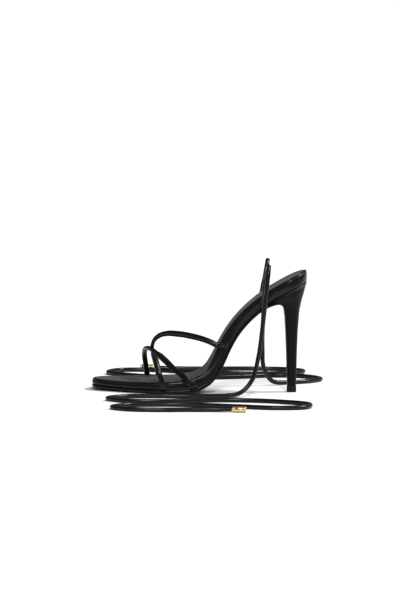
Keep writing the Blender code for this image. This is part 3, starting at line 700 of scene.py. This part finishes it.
def plateRings(levels, step, pressing):
    outline = outlineOf(lastLine, step, True)
    press = rimPress(outline[:, 0], outline[:, 1])
    rings = []
    for inset, share, drop in levels:
        topness = softRise(-drop, *footbedLook["pressedTop"]) if share == 0.0 else 0.0
        sunk = press * topness * pressing
        ring = insetOf(outline, inset + np.maximum(sunk, 0.0) * footbedLook["pinch"])
        height = -valueAt(lastLine, "footbed", ring[:, 0]) * share - drop - sunk
        rings.append(np.column_stack([ring, height]))
    return np.array(rings)


def makeFootbed():
    rings = plateRings(footbedLook["levels"], footbedLook["step"], 1.0)
    wrap = onLast(rings)
    size, seed, depth = footbedLook["slack"]
    wrap[..., 0] += np.sign(wrap[..., 0]) * roughness3d(wrap, size, seed) * depth
    below, above = (onLast(acrossRows(ring, 1)) for ring in (rings[0], rings[-1]))
    return makeMesh("footbed_wrap", [(wrap, True), (below, False), (above, False)])


finishPiece(makeFootbed(), [blackLeather], "black_leather", "footbed")
print("footbed wrapped")

sockLook = {
    "step": 1.7,
    "levels": (
        (4.0, 0.0, 0.55), (3.62, 0.0, 0.50), (3.44, 0.0, 0.25), (3.40, 0.0, -0.15), (3.44, 0.0, -0.50),
        (3.58, 0.0, -0.80), (3.90, 0.0, -0.98), (4.60, 0.0, -1.08), (6.0, 0.0, -1.12),
    ),
    "thinToe": (30.0, 62.0, 0.55),  # up to where the pad is thin, where it is full, and its share at the toe
    # faces turned further sideways than this take the black leather, as painted shade of the groove between
    # sock and rim
    "shadedEdgeFacing": 0.5,
    "toeEnds": -0.09,
    "flatEnds": (6.2, 20.0),  # how far from either end the padding begins and is full
    "cells": 26,
    "pressed": 0.5,
    "crown": 0.30,
    "crownShape": 0.8,
    "heelCup": (232.0, 20.0, -0.75),  # where, how long and how deep the seat of the foot lies
    "ballCup": (72.0, 26.0, -0.45),
    "archPad": (150.0, 30.0, 0.35),
}


def sockLift(s, t):
    inside = np.sin(np.pi * t) ** sockLook["crownShape"]
    lift = sockLook["crown"] * inside
    for middle, reach, deep in (sockLook["heelCup"], sockLook["ballCup"], sockLook["archPad"]):
        lift = lift + deep * bump(s, middle, reach) * inside**2
    return lift * softRise(np.minimum(s, lastLine["length"] - s), *sockLook["flatEnds"])


def makeSock():
    rings = plateRings(sockLook["levels"], sockLook["step"], sockLook["pressed"])
    thinEnd, fullStart, share = sockLook["thinToe"]
    full = softRise(rings[..., 0], thinEnd, fullStart) * (1.0 - share) + share
    rings[..., 2] = np.where(rings[..., 2] > 0.0, rings[..., 2] * full, rings[..., 2])
    sheet = onLast(rings)
    below = onLast(acrossRows(rings[0], 1))
    top = onLast(acrossRows(rings[-1], sockLook["cells"], sockLift))
    return makeMesh("sock_lining", [(sheet, True), (below, False), (top, False)])


sockLining = finishPiece(makeSock(), [sockLeather, blackLeather], "sock_leather", "sock")
for face in sockLining.data.polygons:  # its sideways edge faces are painted black: painted shade for the dark groove between sock and rim, as well as a black cut edge
    turned = max(abs(face.normal.x), face.normal.y)
    if face.center.y < sockLook["toeEnds"]:
        turned = max(turned, -face.normal.y)
    if turned > sockLook["shadedEdgeFacing"]:
        face.material_index = 1
print("sock laid")

# The outsole: thin, painted edge, down the breast of the heel.
soleLook = {
    "columns": ("along", "up", "sole", "lateral", "medial"),
    "inset": 0.9,
    "leaves": 203.0,  # where along the footbed the sole leaves it for the breast of the heel
    "follow": 7.0,
    "treadCells": 6,
    "treadFacing": -0.6,
    "treadEnds": 0.03,
    "breast": (
        (65.6, 88.0, 2.8, 22.6, 22.0),
        (70.8, 90.2, 2.7, 22.4, 22.2),
        (75.2, 91.2, 2.6, 20.8, 20.8),
        (79.0, 91.2, 2.5, 18.0, 18.0),
        (82.9, 89.1, 2.2, 15.0, 15.0),
        (84.9, 85.4, 1.9, 12.4, 12.4),
        (85.8, 79.6, 1.7, 10.4, 10.4),
        (86.9, 66.0, 1.5, 8.0, 8.0),
        (88.0, 46.7, 1.4, 6.2, 6.2),
        (89.0, 24.0, 1.3, 5.2, 5.2),
        (89.9, 6.6, 1.3, 4.8, 4.8),
    ),
    "step": 1.7,
    # inset from the edge and share of the thickness, from the tread up to the footbed
    "levels": (
        (1.9, 1.0), (0.75, 1.0), (0.40, 0.965), (0.16, 0.88), (0.04, 0.74), (0.0, 0.58), (0.0, 0.36),
        (0.06, 0.18), (0.22, 0.06), (0.5, 0.0), (1.3, 0.0),
    ),
}


def soleLineOf():
    rows = []
    for s in np.arange(0.0, soleLook["leaves"], soleLook["follow"]):
        top = placeOn(lastLine, s, 0.0, -valueAt(lastLine, "footbed", s) - last["glueGap"])
        sides = [valueAt(lastLine, side, s) - soleLook["inset"] for side in ("lateral", "medial")]
        rows.append((top[1], top[2], valueAt(lastLine, "sole", s), *sides))
    return bendLine(soleLook["columns"], rows + list(soleLook["breast"]))


soleLine = soleLineOf()


def onSole(flat):
    points = placeOn(soleLine, flat[..., 0], flat[..., 1], flat[..., 2])
    points[..., 2] = np.maximum(points[..., 2], 0.0)
    return points


def makeOutsole():
    outline = outlineOf(soleLine, soleLook["step"], False)
    rings = []
    for inset, share in soleLook["levels"]:
        ring = insetOf(outline, inset)
        ring[:, 0] = np.minimum(ring[:, 0], soleLine["length"])
        rings.append(np.column_stack([ring, -valueAt(soleLine, "sole", ring[:, 0]) * share]))
    rings[-1][:, 2] = last["glueGap"] - last["touching"]
    rings = np.array(rings)
    tread = onSole(acrossRows(rings[0], soleLook["treadCells"]))
    top = onSole(acrossRows(rings[-1], 1))
    return makeMesh("outsole_leather", [(onSole(rings), True), (tread, False), (top, False)])


outsole = finishPiece(makeOutsole(), [soleEdge, treadRubber], "sole_rubber", "outsole")
for face in outsole.data.polygons:  # the tread is rubber as far as the shank
    if face.normal.z < soleLook["treadFacing"] and face.center.y < soleLook["treadEnds"]:
        face.material_index = 1
print("outsole made")

# The heel: a slim block under the heel seat, covered in leather.
heelLook = {
    "columns": ("breast", "back_along", "back_up", "half_width", "power"),
    "sections": (
        (98.3, 105.8, 108.3, 25.0, 2.1),
        (94.5, 104.8, 104.5, 23.8, 2.2),
        (91.3, 103.6, 99.5, 21.6, 2.3),
        (87.0, 102.1, 94.0, 18.4, 2.4),
        (82.8, 100.8, 88.4, 15.4, 2.5),
        (78.0, 99.7, 82.0, 12.8, 2.6),
        (72.0, 99.2, 75.4, 10.8, 2.6),
        (57.5, 98.5, 63.8, 8.6, 2.6),
        (38.5, 98.0, 44.8, 6.7, 2.6),
        (17.6, 97.8, 24.0, 5.5, 2.6),
        (0.0, 97.6, 6.6, 5.1, 2.6),
    ),
    "seatFront": 206.0,
    "seatPower": 2.1,
    "rows": 110,
    "turns": 30,
    "frontPoints": 9,
    "joinRows": 7,
    "edge": 0.8,  # how round the two long front edges are
    "seatEdge": ((1.3, 0.03), (0.75, 0.10), (0.45, 0.35), (0.38, 0.8)),  # inset and drop of its rounded edge
}
tipLook = {
    "high": 6.2,
    "front": 88.5,
    "back": 97.9,
    "halfWidth": 5.4,
    "power": 2.6,
    "edge": 0.7,
    # height and inset of its rings: up from the floor, halfway, and down from its top
    "foot": ((0.0, 0.35), (0.08, 0.1575), (0.35, 0.0)),
    "top": ((0.42, 0.0), (0.2, 0.06), (0.02, 0.3)),
}


def bothSides(outer):  # closes a ring: outer side, inner side and the flat front between them
    inner = outer * (-1.0, 1.0, 1.0)
    frontEdge = np.linspace(outer[0], inner[0], heelLook["frontPoints"])[1:-1]
    return np.concatenate([outer, inner[::-1][1:], frontEdge[::-1]])


def heelRing(front, back, halfWidth, power, edge):  # flat in front, round behind
    turns = np.linspace(0.0, math.pi / 2.0, heelLook["turns"])
    step = np.sin(turns) ** (2.0 / power)
    across = halfWidth * np.cos(turns) ** (2.0 / power)
    length = np.linalg.norm(back - front)
    into = step * length
    corner = np.clip(1.0 - into / edge, 0.0, 1.0)
    across = across - edge * (1.0 - np.sqrt(1.0 - corner**2))
    middle = front[None] + (back - front)[None] * step[:, None]
    return bothSides(np.column_stack([across, middle[:, 1], middle[:, 2]]))


def seatRing(inset, drop):  # the top of the heel takes the curve of the footbed above it
    end = lastLine["length"] - inset
    turns = np.linspace(0.0, math.pi / 2.0, heelLook["turns"])
    s = heelLook["seatFront"] + (end - heelLook["seatFront"]) * np.sin(turns) ** (2.0 / heelLook["seatPower"])
    share = endRound(lastLine["length"] - s, last["heelRound"], last["heelPower"])
    height = -valueAt(lastLine, "footbed", s) - drop
    outerAcross = np.maximum(valueAt(lastLine, "lateral", s) * share - inset, 0.0)
    outerAcross[-1] = 0.0
    return bothSides(onLast(np.column_stack([s, outerAcross, height])))


def closing(ring):  # rows across the ring from its front edge to its back
    turns = heelLook["turns"]
    outer, inner = ring[:turns], ring[turns - 1:2 * turns - 1][::-1]
    t = np.linspace(0.0, 1.0, heelLook["frontPoints"])[None, :, None]
    return outer[:, None] * (1.0 - t) + inner[:, None] * t


def makeHeel():
    table = np.array(heelLook["sections"])
    knots = runLengths(table[:, 1:3])
    rows = smoothRows(knots, table, np.linspace(0.0, knots[-1], heelLook["rows"]))
    rings = []
    for breast, along, up, halfWidth, power in rows:
        front = placeOn(soleLine, soleLine["length"] - breast, 0.0, last["touching"])
        rings.append(heelRing(front, np.array([0.0, along, up]), halfWidth, power, heelLook["edge"]))
    rings = np.array(rings)
    seats = [seatRing(inset, drop) for inset, drop in heelLook["seatEdge"]]
    shares = np.linspace(0.0, 1.0, heelLook["joinRows"])[1:-1]
    joinRows = [seats[-1] + (rings[0] - seats[-1]) * t for t in shares]
    rings = np.concatenate([np.array(seats + joinRows), rings])
    return makeMesh("heel_cover", [(rings, True), (closing(rings[0]), False), (closing(rings[-1]), False)])


def makeTip():
    rings = []
    high = tipLook["high"]
    levels = [*tipLook["foot"], (high / 2.0, 0.0), *((high - down, inset) for down, inset in tipLook["top"])]
    for up, inset in levels:
        front = np.array([0.0, tipLook["front"] + inset, up])
        back = np.array([0.0, tipLook["back"] - inset, up])
        rings.append(heelRing(front, back, tipLook["halfWidth"] - inset, tipLook["power"], tipLook["edge"]))
    rings = np.array(rings)
    middle = [np.broadcast_to(ring.mean(axis=0), ring.shape) for ring in (rings[0], rings[-1])]
    grids = [(rings, True), (np.array([rings[0], middle[0]]), True), (np.array([rings[-1], middle[1]]), True)]
    return makeMesh("heel_tip_rubber", grids)


finishPiece(makeHeel(), [heelLeather], "black_leather", "heel")
finishPiece(makeTip(), [treadRubber], "sole_rubber", "heel_tip")
print("heel covered")

# The straps: rouleaux, pressed flat where they are lasted under the footbed.
strapLook = {
    "flatWide": 6.9,
    "flatThick": 1.5,
    "tuckDeep": 6.5,
    "footMiddleUp": 16.0,
    "sides": 40,
    "step": 0.75,
    "seamDepth": 0.24,
    "seamWidth": 0.26,
    "puckerPitch": 2.7,
    "unevenness": 0.10,
    "unevenSize": 9.0,
    "unevenFlat": 0.35,  # how much of that is left where a strap is flat
    "roundUpTo": (0.3, 0.6),  # how flat a stretch may be to show the seam, and where it no longer does
    "square": 2.6,
    "flattest": 0.8,
    "gather": 0.16,  # small lengthwise folds where the round strap is pressed flat
    "gatherAt": (0.42, 0.16),
    "gatherWaves": 4.4,
}
tabLook = {"middleThick": 3.2, "endGrows": 0.1, "endGap": 0.2, "seed": 5.0}
# across, along, up, wide and thick of each strap's free stretch
straps = {
    "front": {
        "first": "frontMedial",
        "last": "frontLateral",
        "free": (
            (-38.9, -51.7, 18.5, 5.4, 4.2),
            (-36.4, -53.1, 26.0, 5.3, 4.5),
            (-31.0, -53.9, 33.4, 5.3, 4.5),
            (-23.0, -53.5, 38.4, 5.3, 4.5),
            (-13.0, -50.7, 40.8, 5.3, 4.5),
            (-3.0, -46.4, 39.6, 5.3, 4.5),
            (6.0, -41.2, 36.0, 5.3, 4.5),
            (14.5, -35.0, 31.2, 5.3, 4.5),
            (22.5, -28.2, 25.8, 5.3, 4.5),
            (30.0, -21.0, 20.4, 5.2, 3.8),
            (36.0, -15.7, 16.6, 5.8, 3.0),
        ),
    },
    "cross": {
        "first": "crossLateral",
        "last": "crossMedial",
        "free": (
            (39.2, -39.7, 18.0, 5.4, 4.2),
            (34.8, -42.9, 26.6, 5.3, 4.5),
            (28.2, -44.6, 32.2, 5.3, 4.5),
            (19.0, -45.7, 35.6, 5.3, 4.2),
            (9.0, -46.1, 36.9, 5.3, 4.0),
            (-2.0, -45.1, 37.0, 5.3, 4.0),
            (-13.0, -42.1, 35.6, 5.3, 4.2),
            (-23.0, -37.4, 31.8, 5.3, 4.5),
            (-30.6, -31.7, 26.2, 5.3, 4.5),
            (-34.8, -26.2, 20.2, 5.4, 4.2),
        ),
    },
    "instep": {
        "first": "instepLateral",
        "last": "instepMedial",
        "free": (
            (27.4, 16.0, 49.2, 6.2, 4.2),
            (26.0, 9.3, 52.0, 5.9, 5.7),
            (22.0, -0.2, 54.8, 5.9, 6.2),
            (16.0, -10.2, 56.6, 5.9, 6.3),
            (7.0, -22.8, 57.5, 5.8, 6.2),
            (-1.0, -32.8, 56.8, 5.6, 5.7),
            (-6.6, -40.2, 54.0, 5.2, 5.0),
            (-8.8, -44.9, 49.4, 4.4, 3.8),
            (-8.8, -46.9, 43.6, 3.8, 3.4),
            (-12.0, -46.6, 38.8, 4.0, 3.6),
            (-20.0, -44.9, 35.4, 5.0, 4.2),
            (-27.5, -42.8, 31.0, 5.2, 4.5),
            (-33.6, -41.7, 25.4, 5.2, 4.5),
            (-37.0, -40.1, 18.6, 5.4, 4.2),
        ),
    },
}


def tuckRows(endName):  # from under the footbed, round its edge and up to the rim
    side, station, lean = strapEnds[endName][:3]
    sign = 1.0 if side == "lateral" else -1.0
    thick = float(valueAt(lastLine, "footbed", station))
    along, rise = tangentAt(lastLine, station)
    out = np.array([sign, 0.0, 0.0])
    down = np.array([0.0, rise, -along])
    wide, flat, gap = strapLook["flatWide"], strapLook["flatThick"], last["glueGap"]
    middle = gap + flat / 2.0
    wall = middle + 0.05
    rows = (
        (-strapLook["tuckDeep"], middle, 0.0, down, wide, flat),
        (-3.4, middle, 0.0, down, wide, flat),
        (-0.5, middle, 0.0, unit(down * 3.0 + out), wide, flat),
        (wall * 0.72, middle + 0.45, 0.02, unit(down + out), wide, flat),
        (wall + 0.1, middle + 1.9, 0.15, out, wide - 0.2, flat + 0.2),
        (wall + 0.3, thick * 0.62, 0.55, out, wide - 0.6, flat + 0.6),
        (wall + 0.6, thick - 0.2, 1.0, out, wide - 1.0, flat + 1.2),
    )
    route = []
    for beyond, above, moved, outwards, width, thickness in rows:
        s = station - lean * moved
        edge = sign * (float(valueAt(lastLine, side, s)) + beyond)
        route.append([*placeOn(lastLine, s, edge, above - thick), *outwards, width, thickness])
    return route


def freeRows(rows):
    route = []
    for across, along, up, wide, thick in rows:
        outwards = unit(np.array([across, 0.0, max(up - strapLook["footMiddleUp"], 0.0) + 1.0]))
        route.append([across, along, up, *outwards, wide, thick])
    return route


def rouleauGrid(route, seed):
    rows = np.array(route, float)
    knots = runLengths(rows[:, :3])
    places = np.linspace(0.0, knots[-1], round(knots[-1] / strapLook["step"]))
    values = smoothRows(knots, rows, places)
    centre, outwards, wide, thick = values[:, :3], values[:, 3:6], values[:, 6], values[:, 7]
    direction = unit(np.gradient(centre, places, axis=0))
    sideways = unit(np.cross(direction, outwards))
    facing = unit(np.cross(sideways, direction))
    turns = 2.0 * math.pi * (np.arange(strapLook["sides"]) + 0.5) / strapLook["sides"]
    flatness = np.clip(1.0 - thick / wide, 0.0, strapLook["flattest"])[:, None]
    power = 2.0 / (2.0 + strapLook["square"] * flatness)
    across = np.sign(np.cos(turns)) * np.abs(np.cos(turns))[None] ** power * wide[:, None] / 2.0
    raised = np.sign(np.sin(turns)) * np.abs(np.sin(turns))[None] ** power * thick[:, None] / 2.0
    roundness = 1.0 - softRise(flatness, *strapLook["roundUpTo"])
    around = (turns + math.pi / 2.0 + math.pi) % (2.0 * math.pi) - math.pi  # 0 on the side next to the foot
    wave = np.sin(places * 2.0 * math.pi / strapLook["puckerPitch"])[:, None]
    pucker = (1.0 - seamPucker) + seamPucker * wave
    seam = strapLook["seamDepth"] * bump(around, 0.0, strapLook["seamWidth"])[None] * pucker * roundness
    raised = raised + seam
    gathering = bump(flatness, *strapLook["gatherAt"]) * np.clip(np.sin(turns), 0.0, 1.0)[None]
    raised = raised + strapLook["gather"] * gathering * np.cos(across * strapLook["gatherWaves"] + seed)
    points = centre[:, None] + sideways[:, None] * across[..., None] + facing[:, None] * raised[..., None]
    uneven = roughness3d(points, strapLook["unevenSize"], seed) * strapLook["unevenness"]
    left = strapLook["unevenFlat"] + (1.0 - strapLook["unevenFlat"]) * roundness
    return points + unit(points - centre[:, None]) * (uneven * left)[..., None]


def tubeGrids(grid):  # the tube and the two ends that close it
    ends = [np.array([ring, np.broadcast_to(ring.mean(axis=0), ring.shape)]) for ring in (grid[0], grid[-1])]
    return [(grid, True), (ends[0], True), (ends[1], True)]


def makeStraps():
    grids = []
    for seed, strap in enumerate(straps.values(), 1):
        route = tuckRows(strap["first"]) + freeRows(strap["free"]) + tuckRows(strap["last"])[::-1]
        grids += tubeGrids(rouleauGrid(route, float(seed)))
    return makeMesh("strap_rouleaux", grids, meshLook["strapSharp"])


finishPiece(makeStraps(), [blackLeather], "black_leather", "straps")
print("straps made")


def makeTab(side, firstPoint):  # the flat end of a tie, round where the free cord starts
    route = tuckRows(f"tie{side.capitalize()}")
    rim, cord = np.array(route[-1][:3]), np.array(firstPoint) / mm
    end = cord - unit(cord - rim) * last["glueGap"] * tabLook["endGap"]
    out = [1.0 if side == "lateral" else -1.0, 0.0, 0.0]
    tieWide = tieLook["width"] / mm
    middleWide, endWide = (strapLook["flatWide"] + tieWide) / 2.0, tieWide + tabLook["endGrows"]
    route.append([*(rim + (end - rim) * 0.5), *out, middleWide, tabLook["middleThick"]])
    route.append([*end, *out, endWide, endWide])
    grids = tubeGrids(rouleauGrid(route, tabLook["seed"]))
    return makeMesh(f"tie_tab_{side}_end", grids, meshLook["strapSharp"])


for side, route in tieRoutes.items():
    finishPiece(makeTab(side, route[0]), [blackLeather], "black_leather", f"tie_tab_{side}")
print("tie tabs made")

studio = {
    "floorRadius": 60.0,
    "floorSides": 96,
    "floorRough": 0.95,
    "floorColor": (0.88, 0.88, 0.88, 1.0),
    "skyColor": (1.0, 1.0, 1.0, 1.0),
    # how bright the surroundings look to the camera, light the floor and show in gloss
    "backdrop": 1.0,
    "ambient": 0.27,
    "reflected": 0.17,
    # where each soft sun stands, how wide it is in degrees and how strong
    "suns": {
        "topSun": ((-0.15, 0.80, 1.0), 22.0, 2.9),
        "sideSun": ((0.8, 0.10, 0.72), 11.0, 1.4),
    },
}


def makeWorld():
    world = bpy.data.worlds.new("studioWorld")
    world.use_nodes = True
    tree = world.node_tree
    rays = tree.nodes.new("ShaderNodeLightPath")
    dimmer = studio["reflected"] - studio["ambient"]
    soft = mathNode(tree, "MULTIPLY_ADD", rays.outputs["Is Glossy Ray"], dimmer, studio["ambient"])
    seen = mathNode(tree, "MULTIPLY", rays.outputs["Is Camera Ray"], studio["backdrop"])
    brightness = mathNode(tree, "MAXIMUM", soft, seen)
    feed(tree, tree.nodes["Background"], Color=studio["skyColor"], Strength=brightness)
    bpy.context.scene.world = world


def makeStudio():
    data = bpy.data.meshes.new("studioFloor")
    shape = bmesh.new()
    bmesh.ops.create_circle(shape, cap_ends=True, segments=studio["floorSides"],
                            radius=studio["floorRadius"])
    shape.to_mesh(data)
    shape.free()
    floor = addObject("studioFloor", data)
    material, tree, shader = newMaterial("palePaper")
    feed(tree, shader, Base_Color=studio["floorColor"], Roughness=studio["floorRough"],
         Specular_IOR_Level=0.0)
    data.materials.append(material)
    for name, (place, width, strength) in studio["suns"].items():
        sun = addObject(name, bpy.data.lights.new(name, "SUN"))
        sun.data.angle, sun.data.energy = math.radians(width), strength
        sun.rotation_euler = (-Vector(place)).to_track_quat("-Z", "Y").to_euler()
    makeWorld()
    bpy.context.scene.view_settings.view_transform = "Standard"


makeStudio()
print("studio lit")
